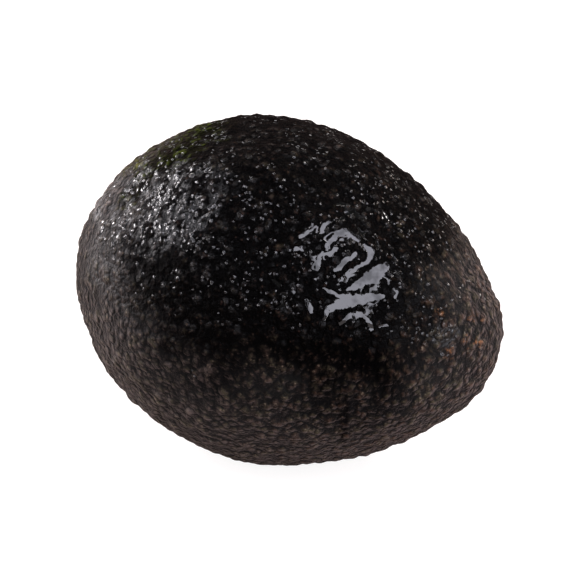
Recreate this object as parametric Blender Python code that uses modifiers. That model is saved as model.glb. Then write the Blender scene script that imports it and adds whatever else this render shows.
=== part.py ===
"""Avocado: one whole fruit lying on its side, with the woody stub of its stem.

Metres, +Z up. The fruit's long axis runs along +X, with the slimmer stem end at +X and a little lower
than the round blossom end. The origin is the middle of the bottom of the fruit's box.

The skin is a body of revolution whose girth follows a formula. Broad swells and one raised pebble for
each point of an even spiral are laid over it, and its lowest point is pressed flat.
"""

import math

import bmesh
import bpy
import numpy as np
from mathutils import Matrix, Vector

# Driving dimensions of the fruit
LENGTH = 0.090
DIAMETER = 0.070
TAPER = 0.115
SHOULDER = 0.150
NOSE_DOWN = math.radians(7.0)
REST_DEPTH = 0.0006

# Relief of the skin
PEBBLES = 1880
PEBBLE_SHIFT = 0.009
PEBBLE_RISE = (0.00030, 0.00062)
SWELL_HEIGHT = 0.00022
SWELL_LENGTHS = (0.010, 0.026)
SWELL_WAVES = 24
SKIN_SEED = 11

# Stem end: how far it sits from the axis, and its bearing round the axis from +Y towards +Z
STEM_OFFSET = math.radians(28.0)
STEM_BEARING = math.radians(-29.0)
HOLLOW_RADIUS = 0.0068
HOLLOW_DEPTH = 0.0012
BUTTON_RADIUS = 0.0031
BUTTON_HEIGHT = 0.0036
BUTTON_SUNK = 0.0014
BUTTON_SQUARENESS = 0.55
BUTTON_SIDES = 24
BUTTON_RINGS = 10
GAP = 0.0003

# Shallow dimple where the flower was, at the middle of the blossom end
SCAR_RADIUS = 0.0040
SCAR_DEPTH = 0.0005

# Fineness of the outline's samples, and how near two points are to be one
OUTLINE_SAMPLES = 4001
MERGE_DISTANCE = 0.00001

# Values that follow from the driving dimensions
HALF_LENGTH = LENGTH / 2
GOLDEN_ANGLE = math.pi * (3 - math.sqrt(5))
DOWN = np.array([math.sin(NOSE_DOWN), 0.0, -math.cos(NOSE_DOWN)])


def clear_scene():
    """Removes every object."""
    for obj in list(bpy.data.objects):
        bpy.data.objects.remove(obj, do_unlink=True)


def collection(name):
    """Returns a new collection in the scene."""
    made = bpy.data.collections.new(name)
    bpy.context.scene.collection.children.link(made)
    return made


def material(name, colour, roughness):
    """Returns a Principled material of one plain colour."""
    made = bpy.data.materials.new(name)
    made.use_nodes = True
    made.diffuse_color = (*colour, 1)
    shader = made.node_tree.nodes["Principled BSDF"]
    shader.inputs["Base Color"].default_value = (*colour, 1)
    shader.inputs["Roughness"].default_value = roughness
    shader.inputs["Metallic"].default_value = 0
    return made


def girth(cosine):
    """The factor by which the outline departs from an ellipse, at a cosine of +1 for the stem end."""
    return 1 - TAPER * cosine - SHOULDER * cosine**2


def half_width():
    """The ellipse's half width that gives the fruit its diameter at its widest."""
    cosine = np.linspace(-1, 1, OUTLINE_SAMPLES)
    return DIAMETER / 2 / (np.sqrt(1 - cosine**2) * girth(cosine)).max()


HALF_WIDTH = half_width()


def egg(directions):
    """The smooth fruit's points for unit directions whose x is the cosine from the stem end."""
    cosine = directions[:, 0]
    spread = HALF_WIDTH * girth(cosine)
    return np.column_stack([HALF_LENGTH * cosine, spread * directions[:, 1], spread * directions[:, 2]])


def egg_normals(directions):
    """The smooth fruit's outward unit normals, from the outline's slope."""
    cosine = directions[:, 0]
    slope = -TAPER - 2 * SHOULDER * cosine
    along = HALF_WIDTH * (cosine * girth(cosine) - (1 - cosine**2) * slope)
    normals = np.column_stack([along, HALF_LENGTH * directions[:, 1], HALF_LENGTH * directions[:, 2]])
    return normals / np.linalg.norm(normals, axis=1, keepdims=True)


def direction(offset, bearing):
    """The unit direction at an angle from the axis, on a bearing round it from +Y towards +Z."""
    round_axis = (math.cos(bearing), math.sin(bearing))
    return np.array([[math.cos(offset), math.sin(offset) * round_axis[0], math.sin(offset) * round_axis[1]]])


STEM = direction(STEM_OFFSET, STEM_BEARING)
BLOSSOM = direction(math.pi, 0.0)


def pebble_directions():
    """Directions of the pebbles' tops: a golden spiral, even over the fruit's area and slightly shifted."""
    rng = np.random.default_rng(SKIN_SEED + 1)
    cosine = np.linspace(-1, 1, OUTLINE_SAMPLES)
    ring = HALF_WIDTH * np.sqrt(1 - cosine**2) * girth(cosine)
    steps = np.hypot(np.diff(ring), HALF_LENGTH * np.diff(cosine))
    area = np.concatenate([[0], np.cumsum(steps * (ring[1:] + ring[:-1]) / 2)])
    number = np.arange(PEBBLES)
    along = np.interp((number + 0.5) / PEBBLES, area / area[-1], cosine)
    across = np.sqrt(1 - along**2)
    turn = number * GOLDEN_ANGLE
    directions = np.column_stack([along, across * np.cos(turn), across * np.sin(turn)])
    directions += rng.normal(0, PEBBLE_SHIFT, directions.shape)
    return directions / np.linalg.norm(directions, axis=1, keepdims=True)


def swells(points):
    """Broad low swells: the sum of plane waves of random heading, length and phase."""
    rng = np.random.default_rng(SKIN_SEED + 2)
    headings = rng.normal(size=(SWELL_WAVES, 3))
    headings /= np.linalg.norm(headings, axis=1, keepdims=True)
    lengths = rng.uniform(*SWELL_LENGTHS, SWELL_WAVES)
    phases = rng.uniform(0, 2 * math.pi, SWELL_WAVES)
    waves = np.sin(points @ headings.T * (2 * math.pi / lengths) + phases)
    return SWELL_HEIGHT * math.sqrt(2 / SWELL_WAVES) * waves.sum(axis=1)


def bell(points, centre, radius):
    """1 at the centre, falling smoothly to nothing at about twice the radius."""
    return np.exp(-(np.linalg.norm(points - centre, axis=1) / radius) ** 2)


def pebbled_mesh(tops):
    """A bmesh of directions with a fan of faces round each pebble's top, the tops first.

    The hull of the tops on the smooth fruit joins neighbours. Each of its faces gets a middle point, and
    the edges between tops are turned to join those middles, which leaves the tops ringed by valleys.
    """
    bm = bmesh.new()
    for point in egg(tops):
        bm.verts.new(point)
    bmesh.ops.convex_hull(bm, input=bm.verts)
    bmesh.ops.triangulate(bm, faces=bm.faces)
    bm.verts.index_update()
    for vert, top in zip(bm.verts, tops):
        vert.co = top
    between_tops = list(bm.edges)
    bmesh.ops.poke(bm, faces=bm.faces)
    bmesh.ops.rotate_edges(bm, edges=between_tops, use_ccw=False)
    return bm


def relief(directions, is_top):
    """How far each point of the skin stands out from the smooth fruit."""
    rng = np.random.default_rng(SKIN_SEED)
    points = egg(directions)
    rise = np.where(is_top, rng.uniform(*PEBBLE_RISE, len(directions)), 0)
    in_hollow = bell(points, egg(STEM), HOLLOW_RADIUS)
    in_scar = bell(points, egg(BLOSSOM), SCAR_RADIUS)
    rise = rise * (1 - in_hollow) + swells(points)
    return rise - HOLLOW_DEPTH * in_hollow - SCAR_DEPTH * in_scar


def pressed_flat(points, floor):
    """Points with none further along DOWN than the floor."""
    below = np.maximum(points @ DOWN - floor, 0)
    return points - below[:, None] * DOWN


def floor_reach():
    """How far the flat spot lies from the fruit's centre, measured along DOWN."""
    turn = np.linspace(0, math.pi, OUTLINE_SAMPLES)
    under = np.column_stack([np.cos(turn), np.zeros_like(turn), -np.sin(turn)])
    return (egg(under) @ DOWN).max() - REST_DEPTH


FLOOR = floor_reach()


def stem_frame():
    """The place of the stem button's foot: its origin sunk in the hollow, with +Z out of the fruit."""
    outward = Vector(egg_normals(STEM)[0])
    foot = Vector(egg(STEM)[0]) - (HOLLOW_DEPTH + BUTTON_SUNK) * outward
    return Matrix.Translation(foot) @ outward.to_track_quat("Z", "Y").to_matrix().to_4x4()


def new_object(name, mesh, home, finish=None):
    """Returns an object in the collection, with its material where it has one."""
    obj = bpy.data.objects.new(name, mesh)
    home.objects.link(obj)
    if finish:
        mesh.materials.append(finish)
    return obj


def fruit(home):
    """The fruit's flesh, stone and skin as one solid, in its own axes."""
    tops = pebble_directions()
    bm = pebbled_mesh(tops)
    directions = np.array([vert.co for vert in bm.verts])
    directions /= np.linalg.norm(directions, axis=1, keepdims=True)
    is_top = np.arange(len(directions)) < len(tops)
    points = egg(directions) + relief(directions, is_top)[:, None] * egg_normals(directions)
    for vert, point in zip(bm.verts, pressed_flat(points, FLOOR)):
        vert.co = point
    bmesh.ops.recalc_face_normals(bm, faces=bm.faces)
    mesh = bpy.data.meshes.new("avocado_fruit")
    bm.to_mesh(mesh)
    bm.free()
    mesh.shade_smooth()
    return new_object("avocado_fruit", mesh, home, material("dark_skin", (0.020, 0.014, 0.012), 0.38))


def socket(home):
    """The cutter that makes room for the stem button, with its floor a gap below the button's foot."""
    depth = BUTTON_HEIGHT + GAP
    bm = bmesh.new()
    bmesh.ops.create_cone(
        bm,
        cap_ends=True,
        segments=BUTTON_SIDES,
        radius1=BUTTON_RADIUS + GAP,
        radius2=BUTTON_RADIUS + GAP,
        depth=depth,
        matrix=Matrix.Translation((0, 0, depth / 2 - GAP)),
    )
    mesh = bpy.data.meshes.new("stem_socket")
    bm.to_mesh(mesh)
    bm.free()
    cutter = new_object("stem_socket", mesh, home)
    cutter.hide_render = True
    cutter.display_type = "WIRE"
    return cutter


def cut(obj, cutter):
    """Cuts one object from another with a live Boolean."""
    modifier = obj.modifiers.new("stem_socket", "BOOLEAN")
    modifier.operation = "DIFFERENCE"
    modifier.solver = "EXACT"
    modifier.object = cutter


def button_outline():
    """The button's half outline, top to foot: a superellipse of its radius and half its height."""
    points = []
    for ring in range(BUTTON_RINGS + 1):
        turn = math.pi * ring / BUTTON_RINGS
        across = math.sin(turn) if 0 < ring < BUTTON_RINGS else 0
        up = math.copysign(abs(math.cos(turn)) ** BUTTON_SQUARENESS, math.cos(turn))
        points.append((BUTTON_RADIUS * across**BUTTON_SQUARENESS, 0, BUTTON_HEIGHT / 2 * (1 + up)))
    return points


def stem_button(home):
    """The woody stub that stays on a picked fruit: the outline turned about +Z."""
    outline = button_outline()
    mesh = bpy.data.meshes.new("stem_button")
    mesh.from_pydata(outline, [(ring, ring + 1) for ring in range(BUTTON_RINGS)], [])
    obj = new_object("stem_button", mesh, home, material("dry_wood", (0.16, 0.10, 0.055), 0.8))
    turned = obj.modifiers.new("turned", "SCREW")
    turned.axis = "Z"
    turned.steps = BUTTON_SIDES
    turned.render_steps = BUTTON_SIDES
    turned.use_merge_vertices = True
    turned.merge_threshold = MERGE_DISTANCE
    turned.use_smooth_shade = True
    return obj


def box_middle(obj, placed):
    """The x and y of the middle of an object's box once it is placed."""
    points = np.array([placed @ vert.co for vert in obj.data.vertices])
    return (points.min(axis=0) + points.max(axis=0))[:2] / 2


def main():
    clear_scene()
    home = collection("avocado")
    cutters = collection("cutters")
    body = fruit(home)
    tool = socket(cutters)
    cut(body, tool)
    button = stem_button(home)

    axis = new_object("avocado_axis", None, home)
    for child in (body, tool, button):
        child.parent = axis
    tool.matrix_local = stem_frame()
    button.matrix_local = stem_frame()
    tilt = Matrix.Rotation(NOSE_DOWN, 4, "Y")
    middle = box_middle(body, tilt)
    axis.rotation_euler = (0, NOSE_DOWN, 0)
    axis.location = (-middle[0], -middle[1], FLOOR)


main()
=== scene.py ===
"""Looks of one whole avocado: its pebbled near-black skin, the woody stub of its stem and a pale studio.

Everything is in metres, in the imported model's frame: +Z up, the fruit's length along +X with the
slimmer stem end at +X, and the surface that it lies on at z = 0.
"""

import functools
import itertools
import logging
import math
from collections.abc import Iterable
from dataclasses import dataclass, field
from enum import Enum
from typing import Any

import bpy
import numpy as np
from mathutils import Matrix, Vector


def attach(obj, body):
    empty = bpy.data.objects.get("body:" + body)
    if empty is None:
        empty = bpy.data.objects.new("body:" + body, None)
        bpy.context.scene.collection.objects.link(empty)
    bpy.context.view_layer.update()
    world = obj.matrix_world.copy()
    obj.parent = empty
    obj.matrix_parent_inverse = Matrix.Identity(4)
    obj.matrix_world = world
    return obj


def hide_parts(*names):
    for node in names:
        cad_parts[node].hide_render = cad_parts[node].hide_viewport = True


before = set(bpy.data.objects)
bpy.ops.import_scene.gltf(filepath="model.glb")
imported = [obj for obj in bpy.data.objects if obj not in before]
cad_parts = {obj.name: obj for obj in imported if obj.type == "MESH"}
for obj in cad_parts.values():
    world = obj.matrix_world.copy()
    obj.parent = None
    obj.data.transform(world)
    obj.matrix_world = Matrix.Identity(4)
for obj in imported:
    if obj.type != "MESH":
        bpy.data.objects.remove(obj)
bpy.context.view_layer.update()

log = logging.getLogger("avocado")

PHOTO_SIZE = 576
ROOT_BODY = "root"
FRUIT_NODE = "avocado_fruit"
STEM_NODE = "stem_button"

Colour = tuple[float, float, float]
Span = tuple[float, float]
Ramp = tuple[float, float, float, float]
Fields = dict[str, np.ndarray]


class Noise:
    """Seeded random fields over points in space, worked out on whole arrays."""

    PRIMES = np.array([73856093, 19349663, 83492791], np.int64)
    MASK = np.int64(0xFFFFFFFF)
    COLUMN_STEP = 2654435
    SEED_STEP = 40503
    MULTIPLIERS = (0x45D9F3B, 0x119DE1F3)
    LARGEST = 0xFFFF
    LOWEST_DOME = 0.5
    MIDDLE = 0.5

    @classmethod
    def hashed(cls, cells: np.ndarray, seed: int, count: int = 1) -> np.ndarray:
        """Random numbers from 0 to 1 for whole-numbered lattice cells.

        Args:
            cells: One row of three whole numbers for each cell.
            seed: Picks the field.
            count: How many numbers each cell gets.

        Returns:
            An array of a row for each cell and count columns.
        """
        mixed = (cells * cls.PRIMES).sum(axis=1)[:, None] + seed * cls.SEED_STEP
        mixed = mixed + (np.arange(count) + 1) * cls.COLUMN_STEP
        for multiplier in cls.MULTIPLIERS:
            mixed = (((mixed >> 16) ^ mixed) & cls.MASK) * multiplier & cls.MASK
        return ((mixed >> 8) & cls.LARGEST) / cls.LARGEST

    @classmethod
    def smooth(cls, points: np.ndarray, size: float, seed: int) -> np.ndarray:
        """Value noise: lattice numbers blended by an eased share along each axis.

        Args:
            points: One row for each point.
            size: The lattice's spacing in metres.
            seed: Picks the field.

        Returns:
            A number from 0 to 1 for each point.
        """
        scaled = points / size
        base = np.floor(scaled).astype(np.int64)
        share = scaled - base
        share = share * share * (3 - 2 * share)
        total = np.zeros(len(points))
        for corner in itertools.product((0, 1), repeat=3):
            weight = np.prod(np.where(corner, share, 1 - share), axis=1)
            total += weight * cls.hashed(base + corner, seed)[:, 0]
        return total

    @classmethod
    def domes(cls, points: np.ndarray, size: float, seed: int, reach: float = 0.85) -> np.ndarray:
        """Round humps of uneven height, one about a random point in each cube of a lattice.

        Args:
            points: One row for each point.
            size: The lattice's spacing in metres.
            seed: Picks the field.
            reach: A hump's radius as a share of the spacing.

        Returns:
            The height at each point, from 0 between the humps to at most 1 on a top.
        """
        scaled = points / size
        base = np.floor(scaled).astype(np.int64)
        height = np.zeros(len(points))
        for offset in itertools.product((-1, 0, 1), repeat=3):
            cell = base + offset
            numbers = cls.hashed(cell, seed, 4)
            distance = np.linalg.norm(cell + numbers[:, :3] - scaled, axis=1)
            top = cls.LOWEST_DOME + (1 - cls.LOWEST_DOME) * numbers[:, 3]
            height = np.maximum(height, top * np.clip(1 - (distance / reach) ** 2, 0, 1) ** 2)
        return height


def eased(values: np.ndarray, low: float, high: float) -> np.ndarray:
    """0 at low, 1 at high and a smooth step between, where low may be above high."""
    share = np.clip((values - low) / (high - low), 0, 1)
    return share * share * (3 - 2 * share)


@dataclass(frozen=True)
class Clouds:
    """Smooth noise in layers, each given as its share, its lattice's spacing in metres and its seed."""

    layers: tuple[tuple[float, float, int], ...]

    def at(self, points: np.ndarray) -> np.ndarray:
        """The layers' sum at each point."""
        return sum(share * Noise.smooth(points, size, seed) for share, size, seed in self.layers)


@dataclass(frozen=True)
class Waves:
    """Plane waves of random headings and phases, and of lengths between two values in metres.

    height is the root mean square of their sum, in metres.
    """

    height: float
    lengths: Span
    count: int
    seed: int

    def at(self, points: np.ndarray) -> np.ndarray:
        """Adds the waves up.

        Args:
            points: One row for each point.

        Returns:
            The sum of their sines at each point, in metres.
        """
        rng = np.random.default_rng(self.seed)
        headings = rng.normal(size=(self.count, 3))
        headings /= np.linalg.norm(headings, axis=1, keepdims=True)
        turns = 2 * math.pi / rng.uniform(*self.lengths, self.count)
        phases = rng.uniform(0, 2 * math.pi, self.count)
        total = np.sin(points @ headings.T * turns + phases).sum(axis=1)
        return self.height * math.sqrt(2 / self.count) * total


@dataclass(frozen=True)
class Egg:
    """The smooth fruit: a body of revolution about its own X, with the stem end at +X.

    For a unit direction of cosine c from the stem end, the point is half the length times c along the
    axis, and across it the half width times the girth, 1 - taper c - shoulder c squared.
    """

    STEPS = 2001

    length: float = 0.09
    diameter: float = 0.07
    taper: float = 0.115
    shoulder: float = 0.15
    nose_down: float = math.radians(7.0)
    rest_depth: float = 0.0006

    def girth(self, cosine: np.ndarray) -> np.ndarray:
        """The factor by which the outline departs from an ellipse."""
        return 1 - self.taper * cosine - self.shoulder * cosine**2

    @property
    def half_width(self) -> float:
        """The ellipse's half width that gives the fruit its diameter at its widest."""
        cosine = np.linspace(-1, 1, self.STEPS)
        return self.diameter / 2 / (np.sqrt(1 - cosine**2) * self.girth(cosine)).max()

    @property
    def down(self) -> np.ndarray:
        """The direction of the floor, in the fruit's own axes."""
        return np.array([math.sin(self.nose_down), 0.0, -math.cos(self.nose_down)])

    def points(self, directions: np.ndarray) -> np.ndarray:
        """The surface points for unit directions, a row each."""
        spread = self.half_width * self.girth(directions[:, 0])[:, None]
        return np.hstack([self.length / 2 * directions[:, :1], spread * directions[:, 1:]])

    def normals(self, directions: np.ndarray) -> np.ndarray:
        """Works out the normals from the outline's slope.

        Args:
            directions: Unit directions, a row each.

        Returns:
            The outward unit normals, a row each.
        """
        cosine = directions[:, 0]
        slope = -self.taper - 2 * self.shoulder * cosine
        along = self.half_width * (cosine * self.girth(cosine) - (1 - cosine**2) * slope)
        normals = np.hstack([along[:, None], self.length / 2 * directions[:, 1:]])
        return normals / np.linalg.norm(normals, axis=1, keepdims=True)

    @property
    def floor(self) -> float:
        """Goes up from the smooth fruit's lowest point by the depth of the flat spot.

        Returns:
            How far the flat spot lies from the fruit's middle, towards the floor.
        """
        turn = np.linspace(0, math.pi, self.STEPS)
        under = np.column_stack([np.cos(turn), np.zeros_like(turn), -np.sin(turn)])
        return float((self.points(under) @ self.down).max()) - self.rest_depth

    @property
    def middle(self) -> np.ndarray:
        """Where the lying fruit's middle is."""
        return np.array([0, 0, self.floor])

    @property
    def turn(self) -> np.ndarray:
        """The rotation from the fruit's own axes to the lying fruit."""
        return np.array(Matrix.Rotation(self.nose_down, 3, "Y"))

    def pressed(self, points: np.ndarray) -> np.ndarray:
        """Points with none beyond the floor."""
        below = np.maximum(points @ self.down - self.floor, 0)
        return points - below[:, None] * self.down

    def placed(self, points: np.ndarray) -> np.ndarray:
        """Points turned from the fruit's own axes to the lying fruit, with the flat spot at z = 0."""
        return points @ self.turn.T + self.middle


EGG = Egg()


@dataclass(frozen=True)
class StemSeat:
    """Where the stem leaves the fruit, and the hollow round it."""

    offset: float = math.radians(28.0)
    bearing: float = math.radians(-29.0)
    hollow_radius: float = 0.0068
    hollow_depth: float = 0.0012
    button_radius: float = 0.0031
    button_height: float = 0.0036
    button_sunk: float = 0.0014
    socket_wall: float = 0.0006

    @property
    def direction(self) -> np.ndarray:
        """The unit direction from the fruit's middle, as one row."""
        out, bearing = math.sin(self.offset), self.bearing
        return np.array([[math.cos(self.offset), out * math.cos(bearing), out * math.sin(bearing)]])

    @property
    def matrix(self) -> np.ndarray:
        """Sinks the button into the hollow's socket.

        Returns:
            The place of its foot in the fruit's own axes, with +Z out of the fruit.
        """
        outward = Vector(EGG.normals(self.direction)[0])
        foot = Vector(EGG.points(self.direction)[0]) - (self.hollow_depth + self.button_sunk) * outward
        return np.array(Matrix.Translation(foot) @ outward.to_track_quat("Z", "Y").to_matrix().to_4x4())


@dataclass(frozen=True)
class Viewpoint:
    """The photograph's camera: a long lens a little above the fruit, its stem end turned to the right.

    azimuth is 0 looking along +Y, and elevation is above the horizon. middle_pixel is where the fruit's
    middle falls in the photograph's frame.
    """

    azimuth: float = math.radians(24.0)
    elevation: float = math.radians(25.0)
    distance: float = 0.525
    lens: float = 160.8
    sensor: float = 36.0
    middle_pixel: Span = (288.8, 295.2)

    @property
    def axes(self) -> np.ndarray:
        """The camera's own directions.

        Returns:
            Right, up and back, a row each.
        """
        right = np.array([math.cos(self.azimuth), math.sin(self.azimuth), 0.0])
        level = np.array([math.sin(self.azimuth), -math.cos(self.azimuth), 0.0])
        back = level * math.cos(self.elevation) + np.array([0, 0, math.sin(self.elevation)])
        return np.array([right, np.cross(back, right), back])

    @property
    def pixels_per_tangent(self) -> float:
        """Pixels across the picture for a slope of 1 from the camera's axis."""
        return self.lens / self.sensor * PHOTO_SIZE

    def place(self, middle: np.ndarray) -> np.ndarray:
        """Works out where the camera stands.

        Args:
            middle: The fruit's middle.

        Returns:
            The camera's location.
        """
        right, up, back = self.axes
        scale = self.distance / self.pixels_per_tangent
        across = (PHOTO_SIZE / 2 - self.middle_pixel[0]) * scale
        upward = (self.middle_pixel[1] - PHOTO_SIZE / 2) * scale
        return middle + back * self.distance + right * across + up * upward

    def pixels(self, points: np.ndarray, middle: np.ndarray) -> np.ndarray:
        """Works out where points fall in the photograph's frame.

        Args:
            points: One row for each point.
            middle: The fruit's middle.

        Returns:
            Rows of x and y, in pixels from the top left.
        """
        seen = (points - self.place(middle)) @ self.axes.T
        slopes = np.column_stack([seen[:, 0], -seen[:, 1]]) / -seen[:, 2:]
        return PHOTO_SIZE / 2 + slopes * self.pixels_per_tangent


@dataclass(frozen=True)
class Patch:
    """An area of the skin, placed by the photograph: an ellipse about a pixel, turned clockwise."""

    RAGGEDNESS = 0.9
    EDGE = (1.15, 0.75)
    HORIZON = (-0.1, 0.05)

    middle: Span
    radii: Span
    turn: float = 0.0

    def weight(self, pixels: np.ndarray, facing: np.ndarray, ragged: np.ndarray) -> np.ndarray:
        """How far each point belongs to the patch.

        Args:
            pixels: The points' places in the photograph's frame.
            facing: How squarely each point faces the camera, below 0 behind the outline.
            ragged: Noise from 0 to 1 that breaks up the patch's edge.

        Returns:
            1 inside, falling to 0 across the ragged edge and behind the outline.
        """
        turn = math.radians(self.turn)
        x, y = (pixels - self.middle).T
        along = (x * math.cos(turn) + y * math.sin(turn)) / self.radii[0]
        across = (y * math.cos(turn) - x * math.sin(turn)) / self.radii[1]
        reach = np.hypot(along, across) + self.RAGGEDNESS * (ragged - Noise.MIDDLE)
        return eased(reach, *self.EDGE) * eased(facing, *self.HORIZON)


@dataclass(frozen=True)
class Zones:
    """Where the skin is wet, satin, moist, dark, green or corky: the fields that its finish reads.

    The patches lie where the photograph shows them. The moist, dark and beaded zones go on round the
    back, by how far a place is along the fruit and how far it faces up, and noise makes their edges stray.
    A span is where a zone begins and where it is full.
    """

    PLACED = ("sheen", "green", "lime", "cork")

    viewpoint: Viewpoint
    films: tuple[Patch, ...] = (Patch((345, 262), (42, 66), -18), Patch((284, 298), (18, 12)))
    # painted shade: a dark vertical streak low on the front, where a shadow line falls
    shade_streak: Patch = Patch((343, 406), (6, 34))
    shade_streak_share: float = 0.75
    sheen: tuple[Patch, ...] = (Patch((162, 208), (70, 42), -24), Patch((445, 334), (16, 12)))
    green: tuple[Patch, ...] = (Patch((178, 148), (56, 19), -24), Patch((128, 200), (16, 9), -40))
    lime: tuple[Patch, ...] = (Patch((133, 166), (11, 7), -40),)
    glints: tuple[Patch, ...] = (Patch((428, 322), (36, 36)), Patch((402, 224), (54, 36), 35))
    cork: tuple[Patch, ...] = (
        Patch((467, 340), (8, 10)), Patch((483, 340), (8, 9)), Patch((450, 354), (7, 7)),
        Patch((472, 320), (9, 5)), Patch((440, 312), (8, 5)),
    )
    ragged: Clouds = Clouds(((0.6, 0.0045, 21), (0.4, 0.0018, 22)))
    islands: Clouds = Clouds(((0.5, 0.003, 23), (0.5, 0.0016, 24)))
    island_edge: Span = (0.6, 0.52)
    wander: Clouds = Clouds(((1.0, 0.012, 25), (0.5, 0.005, 26)))
    wander_middle: float = 0.75
    stem_end: Span = (0.042, 0.026)
    stem_stray: float = 0.006
    blossom_end: Span = (-0.047, -0.021)
    blossom_stray: float = 0.01
    zone_stray: float = 0.4
    moist: Span = (0.0, 0.4)
    dark: Span = (-0.4, 0.34)
    dark_lean: float = 11.0
    beaded: Span = (0.1, 0.6)
    bead_stray: float = 0.3
    clusters: Clouds = Clouds(((0.6, 0.0085, 27), (0.4, 0.004, 28)))
    cluster_edge: Span = (0.35, 0.65)
    between_clusters: float = 0.45
    warm: Span = (-0.025, 0.025)

    @staticmethod
    def union(patches: tuple[Patch, ...], *views: np.ndarray) -> np.ndarray:
        """The strongest weight of several patches at each point."""
        return np.max([patch.weight(*views) for patch in patches], axis=0)

    def fields(self, base: np.ndarray, normals: np.ndarray) -> Fields:
        """Works out all the fields.

        Args:
            base: The smooth egg's points.
            normals: Its outward normals.

        Returns:
            The finish's fields by name, each from 0 to 1, and flat, where a film levels the relief.
        """
        upright = normals @ EGG.turn.T
        along, up = base[:, 0], upright[:, 2]
        pixels = self.viewpoint.pixels(EGG.placed(base), EGG.middle)
        views = (pixels, upright @ self.viewpoint.axes[2], self.ragged.at(base))
        wander = self.wander.at(base) - self.wander_middle
        ends = eased(along + self.stem_stray * wander, *self.stem_end)
        ends = ends * eased(along + self.blossom_stray * wander, *self.blossom_end)
        dark = ends * eased(up + self.dark_lean * along + self.zone_stray * wander, *self.dark)
        clusters = eased(self.clusters.at(base), *self.cluster_edge)
        clusters = self.between_clusters + (1 - self.between_clusters) * clusters
        beaded = eased(up + self.bead_stray * wander, *self.beaded) * clusters
        flat = self.union(self.films, *views)
        return {
            "flat": flat,
            "film": flat * eased(self.islands.at(base), *self.island_edge),
            "front": views[1] > 0,
            "photo_x": pixels[:, 0] / PHOTO_SIZE,
            "photo_y": pixels[:, 1] / PHOTO_SIZE,
            "moist": ends * eased(up + self.zone_stray * wander, *self.moist),
            "beaded": np.maximum(beaded, self.union(self.glints, *views)),
            # the dark zone, with the streak of painted shade pressed into it
            "dark": np.maximum(dark, self.shade_streak_share * self.shade_streak.weight(*views)),
            "warm": eased(along, *self.warm),
            **{name: self.union(getattr(self, name), *views) for name in self.PLACED},
        }


@dataclass(frozen=True)
class Relief:
    """How the skin stands out from the smooth egg.

    The sum of broad swells, pebbles and finer granules, the hollow with its socket at the stem, and the
    dimple at the blossom end. Under a film of moisture the grain all but gives way to soft ripples.
    """

    seat: StemSeat
    zones: Zones
    swells: Waves = Waves(0.00022, (0.01, 0.026), 24, 13)
    ripples: Waves = Waves(0.00008, (0.003, 0.006), 60, 17)
    pebble_size: float = 0.0026
    pebble_rise: float = 0.0006
    pebble_seed: int = 31
    pebble_crest: float = 0.6
    granule_size: float = 0.0015
    granule_rise: float = 0.00016
    granule_seed: int = 32
    granule_crest: float = 0.4
    film_level: float = 0.45
    film_grain: float = 0.05
    hollow_calm: float = 0.8
    hollow_rim: float = 1.3
    socket_lip: float = 0.0003
    socket_foot: float = 0.0004
    scar_radius: float = 0.004
    scar_depth: float = 0.0005

    def work_out(self, directions: np.ndarray) -> tuple[np.ndarray, Fields]:
        """The skin's points and fields.

        The hollow and the blossom end's dimple are bell curves of the distance from their middles, and
        the socket is a smooth step down at the stub's wall.

        Args:
            directions: Unit directions from the fruit's middle, a row each.

        Returns:
            The points in the fruit's own axes, and the finish's fields by name, each from 0 to 1.
        """
        base, normals = EGG.points(directions), EGG.normals(directions)
        fields = self.zones.fields(base, normals)
        pebble = Noise.domes(base, self.pebble_size, self.pebble_seed)
        granule = Noise.domes(base, self.granule_size, self.granule_seed)
        grain = self.pebble_rise * pebble + self.granule_rise * granule
        level = (self.pebble_rise + self.granule_rise) * self.film_level
        under_film = level + self.ripples.at(base) + self.film_grain * (grain - level)
        rise = grain + fields.pop("flat") * (under_film - grain)

        seat = self.seat
        from_stem = np.linalg.norm(base - EGG.points(seat.direction), axis=1)
        from_blossom = np.linalg.norm(base + (EGG.length / 2, 0, 0), axis=1)
        hollow = np.exp(-((from_stem / seat.hollow_radius) ** 2))
        scar = np.exp(-((from_blossom / self.scar_radius) ** 2))
        wall = seat.button_radius + seat.socket_wall
        socket = eased(from_stem, wall + self.socket_lip, wall - self.socket_foot)
        rise = rise * (1 - self.hollow_calm * hollow) + self.swells.at(base)
        rise -= seat.hollow_depth * hollow + seat.button_sunk * socket + self.scar_depth * scar
        # pebble and granule height, from which the finish paints lighter tops and shaded gaps
        fields["crest"] = self.pebble_crest * pebble + self.granule_crest * granule
        fields["rim"] = np.clip(hollow * self.hollow_rim, 0, 1) ** 2
        return EGG.pressed(base + rise[:, None] * normals), fields


@dataclass(frozen=True)
class Wire:
    """One output of a node, which takes part in arithmetic."""

    graph: "Graph"
    socket: Any

    def __add__(self, other: "Wire | float") -> "Wire":
        """The sum."""
        return self.graph.math("ADD", self, other)

    def __sub__(self, other: "Wire | float") -> "Wire":
        """The difference."""
        return self.graph.math("SUBTRACT", self, other)

    def __rsub__(self, other: float) -> "Wire":
        """The difference from a number."""
        return self.graph.math("SUBTRACT", other, self)

    def __mul__(self, other: "Wire | float") -> "Wire":
        """The product."""
        return self.graph.math("MULTIPLY", self, other)

    __radd__ = __add__
    __rmul__ = __mul__

    def eased(self, low: float, high: float, start: float = 0.0, end: float = 1.0) -> "Wire":
        """A smooth step from start at low to end at high."""
        return self.graph.node(
            "MapRange",
            {"Value": self, "From Min": low, "From Max": high, "To Min": start, "To Max": end},
            {"interpolation_type": "SMOOTHSTEP"},
        )


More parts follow.
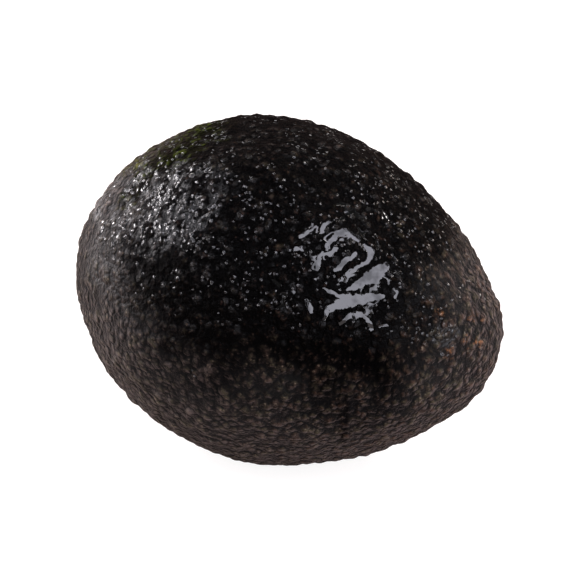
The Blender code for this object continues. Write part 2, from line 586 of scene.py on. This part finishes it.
class Graph:
    """The nodes of one material or world."""

    MIX_INPUTS, MIX_RESULT = (0, 6, 7), 2
    CELL_REACH = 0.75
    DRIFT_DETAIL = 1.0

    def __init__(self, owner: Any) -> None:
        """Empties a node tree, ready for new nodes.

        Args:
            owner: The material or world that has the tree.
        """
        owner.use_nodes = True
        self.tree = owner.node_tree
        self.tree.nodes.clear()

    def node(
        self,
        kind: str,
        inputs: dict[Any, Any] | None = None,
        settings: dict[str, Any] | None = None,
        output: str | int = 0,
    ) -> Wire:
        """Makes a node.

        Args:
            kind: The node's type, without the word ShaderNode.
            inputs: A value or a wire for each named or numbered input.
            settings: Properties, set first.
            output: The output to return.

        Returns:
            That output as a wire.
        """
        made = self.tree.nodes.new(f"ShaderNode{kind}")
        for name, value in (settings or {}).items():
            setattr(made, name, value)
        for name, value in (inputs or {}).items():
            if isinstance(value, Wire):
                self.tree.links.new(value.socket, made.inputs[name])
            else:
                made.inputs[name].default_value = value
        return Wire(self, made.outputs[output] if made.outputs else None)

    def math(self, operation: str, *values: "Wire | float") -> Wire:
        """A Math node on wires and numbers."""
        return self.node("Math", dict(enumerate(values)), {"operation": operation})

    def vector(self, operation: str, inputs: dict[Any, Any], output: str = "Vector") -> Wire:
        """A Vector Math node on numbered or named inputs."""
        return self.node("VectorMath", inputs, {"operation": operation}, output)

    def largest(self, wires: Iterable[Wire]) -> Wire:
        """The largest of several numbers."""
        return functools.reduce(lambda one, two: self.math("MAXIMUM", one, two), wires)

    def mix(self, factor: "Wire | float", *colours: "Wire | Colour") -> Wire:
        """A blend of two colours, each a wire or red, green and blue."""
        values = (factor, *(c if isinstance(c, Wire) else (*c, 1.0) for c in colours))
        return self.node("Mix", dict(zip(self.MIX_INPUTS, values)), {"data_type": "RGBA"}, self.MIX_RESULT)

    def field(self, name: str) -> Wire:
        """A number that the mesh holds at each vertex."""
        return self.node("Attribute", None, {"attribute_name": name}, "Fac")

    def place(self) -> Wire:
        """The point's own coordinates in metres."""
        return self.node("TexCoord", output="Object")

    def noise(self, size: float, detail: float = 3.0, output: str = "Fac") -> Wire:
        """Cloudy noise with blotches of a size in metres."""
        inputs = {"Vector": self.place(), "Scale": 1 / size, "Detail": detail}
        return self.node("TexNoise", inputs, output=output)

    def strayed(self, size: float, amount: float) -> Wire:
        """The point's coordinates, moved about by noise of a size and an amount in metres."""
        drift = self.noise(size, self.DRIFT_DETAIL, "Color")
        return self.vector("MULTIPLY_ADD", {0: drift, 1: (amount, amount, amount), 2: self.place()})

    def grains(self, where: Wire, size: float) -> tuple[Wire, Wire, Wire]:
        """Makes a pattern of cells.

        Args:
            where: The coordinates to make it on.
            size: The cells' mean size in metres.

        Returns:
            How near the cell's middle is, from 0 to 1, and two random numbers of each cell.
        """
        inputs = {"Vector": where, "Scale": 1 / size}
        near = self.node("TexVoronoi", inputs).eased(0.0, self.CELL_REACH, 1.0, 0.0)
        colour = self.node("TexVoronoi", inputs, output="Color")
        picks = (self.node("SeparateColor", {0: colour}, output=name) for name in ("Red", "Green"))
        return near, *picks

    def sight(self) -> tuple[Wire, Wire]:
        """Whether the camera sees a point, and whether a reflection does."""
        kinds = ("Is Camera Ray", "Is Glossy Ray")
        return tuple(self.node("LightPath", output=kind) for kind in kinds)

    def principled(self, inputs: dict[str, Any]) -> Wire:
        """A Principled shader."""
        return self.node("BsdfPrincipled", inputs)

    def blend(self, factor: Wire, first: Wire, second: Wire) -> Wire:
        """A blend of two shaders."""
        return self.node("MixShader", {0: factor, 1: first, 2: second})

    def bump(self, height: Wire, depth: float) -> Wire:
        """A normal that follows a height whose full range is a depth in metres."""
        return self.node("Bump", {"Height": height, "Distance": depth})


class Finish:
    """A surface finish with a material of its own."""

    name = "finish"

    def paint(self, graph: Graph) -> Wire:
        """Makes the shader nodes and returns the shader."""
        raise NotImplementedError

    def material(self) -> bpy.types.Material:
        """Makes a material.

        Returns:
            The new material, with this finish.
        """
        made = bpy.data.materials.new(self.name)
        graph = Graph(made)
        shader = self.paint(graph)
        graph.node("OutputMaterial", {"Surface": shader})
        return made


@dataclass(frozen=True)
class Streak:
    """A stroke of wet film, placed by the photograph.

    Its line runs through pixels, each given as x, y and the stroke's half width there.
    """

    stops: tuple[tuple[float, float, float], ...]

    def nearness(self, graph: Graph, where: Wire) -> list[Wire]:
        """How near a point is to each straight run of the stroke.

        Args:
            graph: The graph to make the nodes in.
            where: The point's pixel, with 0 for z.

        Returns:
            For each run a number that is 1 on its line and one half at the stroke's edge.
        """
        found = []
        for (x, y, width), (next_x, next_y, next_width) in itertools.pairwise(self.stops):
            step = np.array([next_x - x, next_y - y, 0.0])
            offset = graph.vector("SUBTRACT", {0: where, 1: (x, y, 0.0)})
            share = graph.vector("DOT_PRODUCT", {0: offset, 1: tuple(step / (step @ step))}, "Value")
            share = graph.node("Clamp", {"Value": share})
            foot = graph.vector("SCALE", {0: tuple(step), "Scale": share})
            distance = graph.vector("DISTANCE", {0: offset, 1: foot}, "Value")
            full = graph.math("MULTIPLY_ADD", share, 2 * (next_width - width), 2 * width)
            found.append(1 - graph.math("DIVIDE", distance, full))
        return found


@dataclass(frozen=True)
class SkinPattern:
    """The wires that the skin's looks are worked out from, and the graph that they are in.

    near is how near a granule's middle is, and pick and hue are two random numbers of that granule. The
    dots are finer cells of the same kind.
    """

    graph: Graph
    near: Wire
    pick: Wire
    hue: Wire
    dot: Wire
    dot_pick: Wire
    dot_hue: Wire
    speckle: Wire
    edge: Wire


@dataclass(frozen=True)
class SkinFinish(Finish):
    """Dark ripe skin: matt and brownish where dry, black where moist, with granules of their own gloss.

    Sizes, strays and depths are in metres. A span is where a smooth step begins and ends, and a ramp adds
    the values there.
    """

    name: str = "pebbled_skin"

    dry: Colour = (0.057, 0.031, 0.0195)
    # greyer tone of the blossom end; part of its lightness is painted light for the light that falls on
    # that side
    cool_and_lit: Colour = (0.104, 0.085, 0.076)
    olive: Colour = (0.058, 0.048, 0.027)
    moist: Colour = (0.0014, 0.001, 0.001)
    maroon: Colour = (0.021, 0.011, 0.008)
    # painted shade: near black for the crevices between granules and pebbles and for the halo round the
    # film's streaks; over the film it also gives the wet film its darker colour
    shade_black: Colour = (0.0004, 0.0003, 0.0003)
    pale: Colour = (0.185, 0.14, 0.096)
    green: Colour = (0.033, 0.041, 0.006)
    lime: Colour = (0.1, 0.105, 0.012)
    cork: Colour = (0.185, 0.08, 0.034)
    rim: Colour = (0.06, 0.045, 0.022)

    granule: float = 0.0015
    granule_stray: Span = (0.0015, 0.001)
    dot: float = 0.00075
    dot_stray: Span = (0.0007, 0.0004)
    speckle: float = 0.0006
    speckle_span: Span = (0.25, 0.75)
    edge: float = 0.0011

    # painted light and shade from the relief: granule middles and pebble crests lighter, the gaps between
    # darker; the speckle adds tone at random
    granule_light: float = 0.34
    speckle_light: float = 0.22
    crest_light: float = 0.54
    contrast: float = 1.1
    dry_span: Span = (0.42, 1.85)
    maroon_span: Span = (0.4, 0.6)
    pale_span: Span = (0.35, 0.6)
    olive_cloud: float = 0.0026
    olive_span: Span = (0.42, 0.58)
    olive_share: float = 0.85
    green_cloud: float = 0.0022
    green_span: Span = (0.32, 0.55)
    cork_core: Span = (0.0, 0.4)
    cork_span: Span = (0.18, 0.4)
    rim_share: float = 0.8
    # painted shade: where the relief is low, between granules and pebbles, the colour goes near black
    crevice_shade_ramp: Ramp = (0.29, 0.74, 0.95, 0.0)

    hole_span: Span = (0.7, 0.8)
    film_breaks: float = 0.6
    film_span: Span = (0.46, 0.56)
    film_dark: float = 0.8
    # where the halo of painted shade round the streaks lies
    halo_span: Span = (-0.1, 0.34)
    wisp: float = 0.003
    wisp_detail: float = 1.0
    wisp_line: Span = (0.05, 0.03)
    wisp_span: Span = (0.3, 0.45)
    drift: float = 0.002
    drift_detail: float = 4.0
    wobble: float = 9.0

    zone_luck: float = 0.35
    sheen_luck: float = 0.18
    cluster: float = 0.0042
    cluster_detail: float = 2.0
    cluster_luck: float = 0.7
    bead_span: Span = (1.05, 1.11)
    bead_core: Span = (0.3, 0.55)
    sheen_core: float = 0.25
    halo_dry: float = 0.9

    wet_reach: float = 0.3
    wet_span: Span = (-0.05, 0.1)
    wet_core: Span = (0.1, 0.6)
    wet_share: float = 0.14
    satin: float = 0.0024
    satin_span: Span = (0.44, 0.62)
    satin_gaps: Span = (0.3, 0.5)
    satin_share: float = 0.37
    mirror: float = 0.0026
    mirror_ramp: Ramp = (0.32, 0.52, 0.55, 1.0)
    haze: Span = (0.36, 0.024)
    green_matt: float = 0.7

    dry_rough: float = 0.95
    moist_rough: float = 0.22
    sheen_rough: float = 0.34
    bead_rough: float = 0.09
    film_rough: float = 0.07
    index: float = 1.62

    granule_depths: Span = (0.0008, 0.00028)
    speckle_depth: float = 0.0002
    bead_depth: float = 0.00012
    film_depth: float = 0.00005

    bloom: float = 0.21
    bloom_roughness: float = 0.35
    bloom_tint: Colour = (1.0, 0.72, 0.62)
    dark_clean: float = 0.92

    streaks: tuple[Streak, ...] = tuple(Streak(stops) for stops in (
        (
            (326, 248, 1.8), (331, 241, 3.2), (337, 235, 3.8),
            (344, 232.5, 3.4), (351, 235, 2.2), (359, 241, 1.2),
        ),
        ((321, 257, 1.8), (329, 255, 2.4), (335, 249, 1.6)),
        ((334, 270, 2.2), (344, 263, 2.5), (355, 255, 2.6)),
        ((365, 246, 1.6), (371, 254, 3.2), (368, 262, 2.4), (358, 267, 1.5), (348, 275, 1.6)),
        ((347, 291, 2.0), (359, 284, 4.8), (372, 277, 7.0), (384, 268, 5.8)),
        ((324, 288, 1.0), (333, 293, 1.7), (344, 298, 4.0), (361, 300, 5.8), (381, 295, 2.8)),
        ((325, 319, 1.6), (328, 311, 3.8), (336, 305, 5.4), (352, 301, 5.0)),
        ((341, 323, 2.4), (349, 316, 3.4), (359, 314, 3.0), (367, 319, 2.6), (371, 329, 1.6)),
        ((299, 237, 1.4), (306, 234, 2.2), (316, 229, 1.0)),
        ((320, 233, 1.6), (324, 228, 2.2), (329, 223, 1.6)),
        ((346, 212, 1.8), (353, 212, 2.6), (361, 220, 1.6)),
        ((336, 204, 1.0), (340, 202.5, 1.3), (344, 205, 1.0)),
        ((382, 213, 1.6), (387, 217, 2.4)),
        ((294, 250, 1.6), (300, 248, 2.2), (305, 253, 1.6)),
        ((315, 270, 2.0), (318, 261, 2.8), (322, 254, 2.0)),
        ((305, 299, 1.6), (308, 305, 2.4), (312, 312, 1.8)),
        ((381, 327, 1.4), (387, 325, 1.8)),
        ((392, 289, 1.2), (396, 293, 1.6), (394, 298, 1.2)),
        ((274, 281, 1.4), (280, 285, 1.6)),
        ((376, 241, 1.2), (378, 248, 1.6)),
        ((390, 255, 1.4), (394, 259, 1.2)),
        ((337, 221, 1.2), (342, 218, 1.6)),
    ))

    def pattern(self, graph: Graph) -> SkinPattern:
        """Makes what the looks are worked out from.

        Args:
            graph: The graph to make the nodes in.

        Returns:
            The granules, the dots and the fine noise.
        """
        granules = graph.grains(graph.strayed(*self.granule_stray), self.granule)
        dots = graph.grains(graph.strayed(*self.dot_stray), self.dot)
        speckle = graph.noise(self.speckle).eased(*self.speckle_span)
        return SkinPattern(graph, *granules, *dots, speckle, graph.noise(self.edge))

    def tone(self, skin: SkinPattern) -> Wire:
        """Makes the colour of the skin without its film.

        Args:
            skin: The skin's pattern.

        Returns:
            Dry skin over black by painted relief shade and zone, then pale dots, green, lime, cork, rim
            and painted shade in the crevices.
        """
        graph = skin.graph
        # painted shade from the relief: lighter on granule middles and pebble crests, darker between them,
        # plus random speckle
        light = skin.near * self.granule_light + skin.speckle * self.speckle_light
        light = light + graph.field("crest") * self.crest_light
        olive = graph.noise(self.olive_cloud).eased(*self.olive_span) * self.olive_share
        # towards the blossom end the tone greys and lightens, partly painted light from that side
        dry = graph.mix(olive, graph.mix(graph.field("warm"), self.cool_and_lit, self.dry), self.olive)
        marked, bare = skin.dot_pick * skin.dot, 1 - graph.field("dark")
        black = graph.mix(marked.eased(*self.maroon_span), self.moist, self.maroon)
        share = (light * self.contrast + bare * self.contrast).eased(*self.dry_span)
        colour = graph.mix(share, black, dry)
        clouds = graph.noise(self.green_cloud).eased(*self.green_span)
        flecks = (skin.dot_hue * skin.dot.eased(*self.cork_core)).eased(*self.cork_span)
        for share, over in (
            (marked.eased(*self.pale_span) * bare, self.pale),
            (graph.field("green") * clouds, self.green),
            (graph.field("lime") * skin.speckle, self.lime),
            (graph.field("cork") * flecks, self.cork),
            (graph.field("rim") * self.rim_share, self.rim),
            # painted shade in the crevices, where the relief is low
            (light.eased(*self.crevice_shade_ramp), self.shade_black),
        ):
            colour = graph.mix(share, colour, over)
        return colour

    def streak(self, graph: Graph) -> Wire:
        """Works out how near a point is to the nearest streak, whose course noise makes wavy.

        Args:
            graph: The graph to make the nodes in.

        Returns:
            1 on a streak's line, one half at its edge and less beyond.
        """
        sides = (graph.field(name) * PHOTO_SIZE - self.wobble / 2 for name in ("photo_x", "photo_y"))
        pixel = graph.node("CombineXYZ", dict(enumerate(sides)))
        drift = graph.noise(self.drift, self.drift_detail, "Color")
        where = graph.vector("MULTIPLY_ADD", {0: drift, 1: (self.wobble, self.wobble, 0.0), 2: pixel})
        return graph.largest(run for streak in self.streaks for run in streak.nearness(graph, where))

    def film(self, skin: SkinPattern) -> tuple[Wire, Wire]:
        """Works out where moisture lies on the skin as a film.

        Args:
            skin: The skin's pattern.

        Returns:
            The film, which is streaks with broken edges and holes, and wisps between them. Then the halo
            round the streaks, where the colour is darkened as painted shade.
        """
        graph = skin.graph
        streak, front = self.streak(graph), graph.field("front")
        hole = (skin.pick * skin.near).eased(*self.hole_span)
        film = streak + (skin.edge - Noise.MIDDLE) * self.film_breaks - hole * self.film_breaks
        film = film.eased(*self.film_span) * front
        swing = graph.math("ABSOLUTE", graph.noise(self.wisp, self.wisp_detail) - Noise.MIDDLE)
        wisp = swing.eased(*self.wisp_line) * (graph.field("film") - skin.edge).eased(*self.wisp_span)
        return graph.largest((film, wisp)), streak.eased(*self.halo_span) * front

    def beads(self, skin: SkinPattern, halo: Wire) -> Wire:
        """Works out which dots are beaded with moisture.

        Args:
            skin: The skin's pattern.
            halo: The halo of painted shade round the film's streaks, which has hardly any beads.

        Returns:
            1 on the middle of a beaded dot. Beads come in clusters, and more of them in the beaded zone.
        """
        graph, sheen = skin.graph, skin.graph.field("sheen")
        luck = skin.dot_hue + graph.field("beaded") * self.zone_luck + sheen * self.sheen_luck
        clusters = graph.noise(self.cluster, self.cluster_detail) - Noise.MIDDLE
        luck = (luck + clusters * self.cluster_luck).eased(*self.bead_span)
        core = (skin.dot + sheen * self.sheen_core).eased(*self.bead_core)
        return luck * core * (1 - halo * self.halo_dry)

    def coat(self, skin: SkinPattern, bead: Wire, film: Wire) -> tuple[Wire, Wire]:
        """Works out the glossy coat.

        Args:
            skin: The skin's pattern.
            bead: Where dots are beaded.
            film: Where film lies.

        Returns:
            How much of it shows: the largest of film, beads, wet granules and satin skin, over a haze that
            is weak where dark. Then its roughness, with satin, beads and film each over the one before.
        """
        graph = skin.graph
        moist, sheen = graph.field("moist"), graph.field("sheen")
        wet = (moist * self.wet_reach - skin.pick).eased(*self.wet_span)
        wet = wet * skin.near.eased(*self.wet_core) * self.wet_share
        satin = sheen * graph.noise(self.satin).eased(*self.satin_span)
        satin = satin * (1 - (skin.hue * skin.near).eased(*self.satin_gaps)) * self.satin_share
        mirror = film * graph.noise(self.mirror).eased(*self.mirror_ramp)
        gloss = graph.largest((mirror, bead, wet, satin))
        green = graph.field("green") * self.green_matt
        haze = graph.field("dark").eased(0.0, 1.0, *self.haze) * (1 - green)
        rough = moist.eased(0.0, 1.0, self.dry_rough, self.moist_rough)
        shares, roughs = (sheen, bead, film), (self.sheen_rough, self.bead_rough, self.film_rough)
        for share, own in zip(shares, roughs):
            rough = rough + (own - rough) * share
        return gloss + (1 - gloss) * haze, rough

    def height(self, skin: SkinPattern, bead: Wire, film: Wire) -> Wire:
        """Works out the fine relief.

        Args:
            skin: The skin's pattern.
            bead: Where dots are beaded.
            film: Where film lies.

        Returns:
            The height of granules, speckle and beads in metres, which the film levels out.
        """
        height = skin.near * skin.graph.field("moist").eased(0.0, 1.0, *self.granule_depths)
        height = height + skin.speckle * self.speckle_depth + skin.dot * bead * self.bead_depth
        return height * (1 - film) + skin.edge * film * self.film_depth

    def paint(self, graph: Graph) -> Wire:
        """Makes matt skin with a dusty bloom where dry, under a glossy coat where it shines.

        Args:
            graph: The graph to make the nodes in.

        Returns:
            The shader.
        """
        skin = self.pattern(graph)
        film, halo = self.film(skin)
        bead = self.beads(skin, halo)
        # painted shade in the halo round the streaks, together with the wet film's own darker colour, both
        # near black
        wet_and_shade = graph.largest((halo, graph.field("film") * self.film_dark))
        colour = graph.mix(wet_and_shade, self.tone(skin), self.shade_black)
        own = {"Base Color": colour, "Normal": graph.bump(self.height(skin, bead, film), 1.0)}
        matt = {**own, "Roughness": 1.0, "Specular IOR Level": 0.0}
        bloom = {"Sheen Weight": self.bloom, "Sheen Roughness": self.bloom_roughness}
        dusty = graph.principled({**matt, **bloom, "Sheen Tint": (*self.bloom_tint, 1.0)})
        dull = graph.blend(graph.field("dark") * self.dark_clean, dusty, graph.principled(matt))
        gloss, rough = self.coat(skin, bead, film)
        return graph.blend(gloss, dull, graph.principled({**own, "Roughness": rough, "IOR": self.index}))


@dataclass(frozen=True)
class WoodFinish(Finish):
    """Dry brown wood of the stem's stub, in pale and dark blotches. Sizes and depths are in metres."""

    name: str = "dry_stem"
    pale: Colour = (0.24, 0.16, 0.085)
    dark: Colour = (0.055, 0.032, 0.018)
    blotch: float = 0.0012
    blotch_span: Span = (0.35, 0.65)
    rough_ramp: Ramp = (0.3, 0.7, 0.9, 0.7)
    grain: float = 0.0004
    grain_depth: float = 0.00025
    detail: float = 4.0

    def paint(self, graph: Graph) -> Wire:
        """Wood that is rougher where it is dark, with grain in the normal."""
        blotch = graph.noise(self.blotch, self.detail)
        return graph.principled({
            "Base Color": graph.mix(blotch.eased(*self.blotch_span), self.dark, self.pale),
            "Roughness": blotch.eased(*self.rough_ramp),
            "Normal": graph.bump(graph.noise(self.grain, self.detail), self.grain_depth),
        })


@dataclass(frozen=True)
class FloorFinish(Finish):
    """Plain floor, white to the camera, pale in reflections and grey in the light that it sends up."""

    name: str = "pale_floor"
    grey: Colour = (0.31, 0.27, 0.252)
    seen_glow: float = 0.88
    mirrored_glow: float = 0.2

    def paint(self, graph: Graph) -> Wire:
        """Makes matt grey with a strong glow for the camera and a faint one for reflections.

        Args:
            graph: The graph to make the nodes in.

        Returns:
            The shader.
        """
        matt = graph.node("BsdfDiffuse", {"Color": (*self.grey, 1)})
        seen, mirrored = graph.sight()
        strength = seen * self.seen_glow + mirrored * self.mirrored_glow
        glow = graph.node("Emission", {"Strength": strength})
        return graph.node("AddShader", {0: matt, 1: glow})


def add_object(name: str, points: np.ndarray, faces: list[list[int]], finish: Finish) -> bpy.types.Object:
    """Puts a mesh into the scene.

    Args:
        name: The object's name.
        points: One row for each vertex.
        faces: The vertex numbers of each face, counter-clockwise from outside.
        finish: The surface finish.

    Returns:
        The new object, shaded smooth.
    """
    mesh = bpy.data.meshes.new(name)
    mesh.from_pydata(points, [], faces)
    mesh.shade_smooth()
    mesh.materials.append(finish.material())
    made = bpy.data.objects.new(name, mesh)
    bpy.context.scene.collection.objects.link(made)
    return made


def add_field(piece: bpy.types.Object, name: str, values: np.ndarray) -> None:
    """Gives a piece a number at each vertex, for its material to read."""
    attribute = piece.data.attributes.new(name, "FLOAT", "POINT")
    attribute.data.foreach_set("value", np.clip(values, 0, 1).astype(np.float32))


@dataclass
class FruitSkin:
    """The fruit's outside: a cube's six grids drawn out to a sphere, then to the egg with its relief."""

    relief: Relief
    finish: SkinFinish = field(default_factory=SkinFinish)
    cells: int = 128
    weld: float = 1e-6

    def sphere(self) -> tuple[np.ndarray, np.ndarray]:
        """Evenly spread unit directions and the faces that join them.

        Each side of the cube is a grid of the tangents of even angles, so that the faces come out nearly
        equal. Points that two sides share are made one.

        Returns:
            The directions and the four-sided faces.
        """
        tangents = np.tan(np.linspace(-math.pi / 4, math.pi / 4, self.cells + 1))
        across, up = (grid.ravel() for grid in np.meshgrid(tangents, tangents))
        out = np.ones_like(across)
        sides = [
            np.column_stack([out, across, up]),
            np.column_stack([-out, -across, up]),
            np.column_stack([-across, out, up]),
            np.column_stack([across, -out, up]),
            np.column_stack([-up, across, out]),
            np.column_stack([up, across, -out]),
        ]
        points = np.vstack(sides)
        points /= np.linalg.norm(points, axis=1, keepdims=True)
        count = self.cells + 1
        corner = (np.arange(self.cells)[:, None] * count + np.arange(self.cells)).ravel()
        one = np.column_stack([corner, corner + 1, corner + count + 1, corner + count])
        quads = np.vstack([one + side * count * count for side in range(len(sides))])
        _, first, index = np.unique(
            np.round(points / self.weld).astype(np.int64), axis=0, return_index=True, return_inverse=True
        )
        return points[first], index.reshape(-1)[quads]

    def build(self) -> bpy.types.Object:
        """Makes the skin and its fields.

        Returns:
            The piece, with the middle of its box over the middle of the solid's box.
        """
        directions, quads = self.sphere()
        points, fields = self.relief.work_out(directions)
        points = EGG.placed(points)
        points[:, :2] -= (points.min(axis=0) + points.max(axis=0))[:2] / 2
        piece = add_object("fruit_skin", points, quads.tolist(), self.finish)
        for name, values in fields.items():
            add_field(piece, name, values)
        return piece


@dataclass
class StemStub:
    """The woody stub in the stem hollow: a turned superellipse with a cracked, uneven face."""

    seat: StemSeat
    finish: WoodFinish = field(default_factory=WoodFinish)
    around: int = 72
    rings: int = 36
    squareness: float = 0.55
    cracks: Clouds = Clouds(((1.0, 0.0011, 51), (0.6, 0.0005, 52)))
    crack_edge: float = 1.1
    crack_depth: float = 0.00044
    uneven_from: Span = (0.0004, 0.002)
    pith_radius: float = 0.0007
    pith_depth: float = 0.0004

    def build(self) -> bpy.types.Object:
        """Makes the stub.

        The outline is the radius times the sine to a power across, and half the height times the cosine
        to the same power up. Cracks go in towards the middle, except near the foot, and the pith dips.

        Returns:
            The piece.
        """
        seat = self.seat
        turn, drop = np.meshgrid(
            np.linspace(0, 2 * math.pi, self.around, endpoint=False),
            np.linspace(0, math.pi, self.rings + 1)[1:-1],
        )
        turn, drop = turn.ravel(), drop.ravel()
        across = seat.button_radius * np.sin(drop) ** self.squareness
        up = np.sign(np.cos(drop)) * np.abs(np.cos(drop)) ** self.squareness
        side = np.column_stack([across * np.cos(turn), across * np.sin(turn)])
        height = seat.button_height / 2 * (1 + up)
        own = np.vstack([np.column_stack([side, height]), [[0, 0, seat.button_height], [0, 0, 0]]])
        share = eased(own[:, 2], *self.uneven_from)
        inward = np.maximum(self.crack_edge - self.cracks.at(own), 0) * self.crack_depth * share
        outward = own - (0, 0, seat.button_height / 2)
        outward /= np.linalg.norm(outward, axis=1, keepdims=True)
        own = own - inward[:, None] * outward
        pith = np.exp(-((np.hypot(own[:, 0], own[:, 1]) / self.pith_radius) ** 2)) * share
        own[:, 2] -= self.pith_depth * pith
        placed = EGG.placed(own @ seat.matrix[:3, :3].T + seat.matrix[:3, 3])

        rows = self.rings - 1
        start = np.arange(rows - 1)[:, None] * self.around
        here = np.arange(self.around)
        after = (here + 1) % self.around
        below = start + self.around
        quads = np.stack([start + here, below + here, below + after, start + after], -1)
        last = (rows - 1) * self.around
        top = np.stack([here, after, np.full(self.around, last + self.around)], -1)
        foot = np.stack([last + after, last + here, np.full(self.around, last + self.around + 1)], -1)
        faces = [*quads.reshape(-1, 4).tolist(), *top.tolist(), *foot.tolist()]
        return add_object("stem_stub", placed, faces, self.finish)


class LightKind(Enum):
    """The studio's lights: bearing and height in degrees, size in metres, brightness and tint."""

    WINDOW = (62.0, 33.5, 0.84, 1.4, 4.8, (0.88, 0.88, 1.0))
    LEFT_BOX = (-92.0, 31.0, 0.6, 0.3, 6.0, (0.94, 0.89, 1.0))
    LEFT_SPARK = (-70.0, 40.0, 0.12, 0.12, 50.0, (0.95, 0.95, 1.0))
    LEFT_WALL = (-93.0, 3.0, 0.9, 0.28, 16.0, (1.0, 0.95, 0.97))
    RIGHT_WALL = (150.0, 8.0, 0.6, 0.28, 3.6, (1.0, 0.82, 0.7))
    BACK_BOX = (204.0, 38.0, 0.34, 0.16, 8.5, (1.0, 0.94, 0.9))
    TOP_SPARK = (222.0, 22.0, 0.12, 0.06, 14.0, (1.0, 0.98, 0.95))
    RIGHT_BACK_BOX = (160.0, 36.0, 0.16, 0.1, 38.0, (1.0, 0.95, 0.93))
    RIGHT_SPARK = (133.0, 34.0, 0.12, 0.08, 28.0, (1.0, 0.95, 0.93))


@dataclass
class Studio:
    """Pale floor, soft lights, plain surroundings and the camera."""

    viewpoint: Viewpoint
    reach: float = 0.8
    floor_size: float = 12.0
    surround: float = 0.12
    mirrored: float = 0.15
    backdrop: float = 1.1
    finish: FloorFinish = field(default_factory=FloorFinish)

    def floor(self) -> None:
        """Makes the floor, whose mesh is one large square at z = 0."""
        half = self.floor_size / 2
        corners = np.array([[-half, -half, 0], [half, -half, 0], [half, half, 0], [-half, half, 0]])
        made = add_object("pale_floor", corners, [[0, 1, 2, 3]], self.finish)

    def light(self, kind: LightKind, middle: np.ndarray) -> None:
        """Makes one light that faces the fruit and that the camera doesn't see.

        Args:
            kind: The light.
            middle: The fruit's middle.
        """
        bearing, height, width, tall, brightness, tint = kind.value
        bearing, height = math.radians(bearing), math.radians(height)
        level = math.cos(height)
        back = Vector((math.sin(bearing) * level, -math.cos(bearing) * level, math.sin(height)))
        data = bpy.data.lights.new(kind.name.lower(), "AREA")
        data.shape = "RECTANGLE"
        data.size = width
        data.size_y = tall
        data.color = tint
        data.energy = brightness * math.pi * width * tall
        made = bpy.data.objects.new(kind.name.lower(), data)
        made.location = Vector(middle) + back * self.reach
        made.rotation_euler = back.to_track_quat("Z", "Y").to_euler()
        made.visible_camera = False
        bpy.context.scene.collection.objects.link(made)

    def camera(self, middle: np.ndarray) -> None:
        """Makes the photograph's camera and has the scene use it.

        Args:
            middle: The fruit's middle.
        """
        data = bpy.data.cameras.new("camera")
        data.lens = self.viewpoint.lens
        data.sensor_width = self.viewpoint.sensor
        made = bpy.data.objects.new("camera", data)
        turn = Matrix(self.viewpoint.axes.T).to_4x4()
        made.matrix_world = Matrix.Translation(self.viewpoint.place(middle)) @ turn
        bpy.context.scene.collection.objects.link(made)
        bpy.context.scene.camera = made

    def world(self) -> None:
        """Makes surroundings that are white to the camera, grey in reflections and dim to all else."""
        world = bpy.data.worlds.new("World")
        bpy.context.scene.world = world
        graph = Graph(world)
        seen, mirrored = graph.sight()
        strength = seen * (self.backdrop - self.surround) + mirrored * (self.mirrored - self.surround)
        strength = strength + self.surround
        shader = graph.node("Background", {"Strength": strength})
        graph.node("OutputWorld", {"Surface": shader})

    def build(self, middle: np.ndarray) -> None:
        """Makes the whole studio.

        Args:
            middle: The middle of the fruit that it is built round.
        """
        self.floor()
        for kind in LightKind:
            self.light(kind, middle)
        self.camera(middle)
        self.world()
        bpy.context.scene.view_settings.view_transform = "Standard"


def ride(piece: bpy.types.Object, node: str) -> None:
    """Makes a piece stand for a solid and move with the part.

    Args:
        piece: The object.
        node: The solid's name.
    """
    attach(piece, ROOT_BODY)
    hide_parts(node)
    log.info("%s stands for %s: %d faces", piece.name, node, len(piece.data.polygons))


def main() -> None:
    """Builds the fruit, its stem and the studio."""
    logging.basicConfig(level=logging.INFO, format="%(name)s: %(message)s")
    viewpoint = Viewpoint()
    seat = StemSeat()
    ride(FruitSkin(Relief(seat, Zones(viewpoint))).build(), FRUIT_NODE)
    ride(StemStub(seat).build(), STEM_NODE)
    Studio(viewpoint).build(EGG.middle)


if __name__ == "__main__":
    main()
